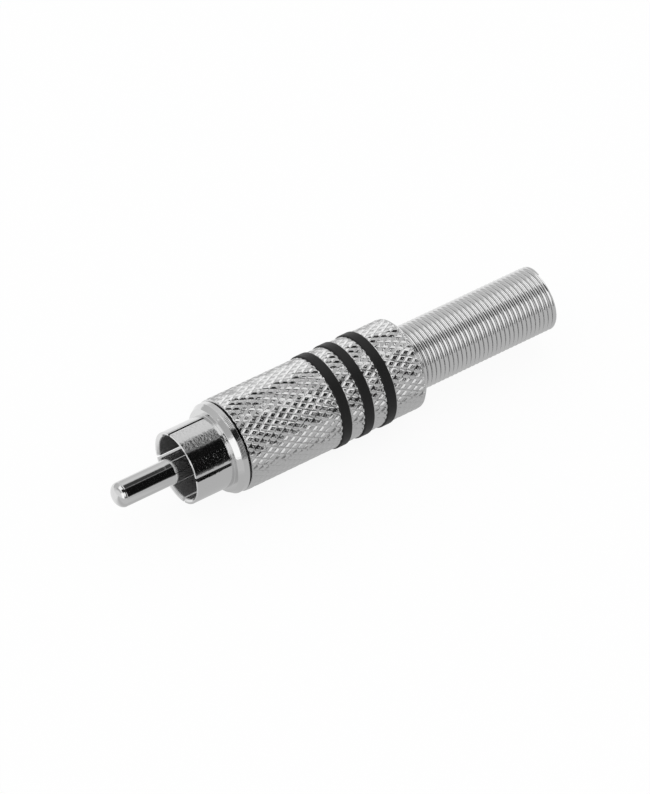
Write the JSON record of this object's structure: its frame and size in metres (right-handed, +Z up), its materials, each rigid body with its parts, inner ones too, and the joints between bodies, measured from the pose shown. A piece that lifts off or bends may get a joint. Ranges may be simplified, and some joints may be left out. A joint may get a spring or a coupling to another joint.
{
  "type": "rca plug",
  "caption": "Coaxial audio plug with a centre pin, a split ground skirt, a knurled screw-on handle with colour rings and a coil-spring strain relief.",
  "frame": {"origin": "on the plug's axis, in the collar's front face, where the plug seats on a jack", "axes": "+X along the plug's axis towards the cable, +Z up, with the wire end of the spring near the top and the ground lug at the bottom"},
  "size_m": [0.0632, 0.0122, 0.0122],
  "materials": {
    "plated_brass": "turned brass, bright nickel plate",
    "knurled_handle": "diamond-knurled brass, nickel plate",
    "spring_wire": "drawn spring wire, nickel plate",
    "ring_plastic": "moulded black ring",
    "insulator": "turned black insulator",
    "sleeve": "extruded insulating tube"
  },
  "bodies": {
    "plug_body": {"ground_shell": "plated_brass", "center_pin": "plated_brass", "pin_insulator": "insulator", "rear_insulator": "insulator", "ground_lug": "plated_brass"},
    "sleeve": {"insulating_sleeve": "sleeve"},
    "handle": {"handle_barrel": "knurled_handle", "strain_relief_spring": "spring_wire", "color_ring_1": "ring_plastic", "color_ring_2": "ring_plastic", "color_ring_3": "ring_plastic"}
  },
  "joints": [
    {"name": "handle_travel", "type": "slide", "parent": "plug_body", "child": "sleeve", "axis": [1, 0, 0], "range_m": [0, 0.00526]},
    {"name": "handle_screw", "type": "hinge", "parent": "sleeve", "child": "handle", "pos_m": [0, 0, 0], "axis": [1, 0, 0], "range_deg": [0, 2520]}
  ],
  "couplings": [
    {"joint": "handle_travel", "follows": "handle_screw", "m_per_rad": 0.00011937}
  ]
}
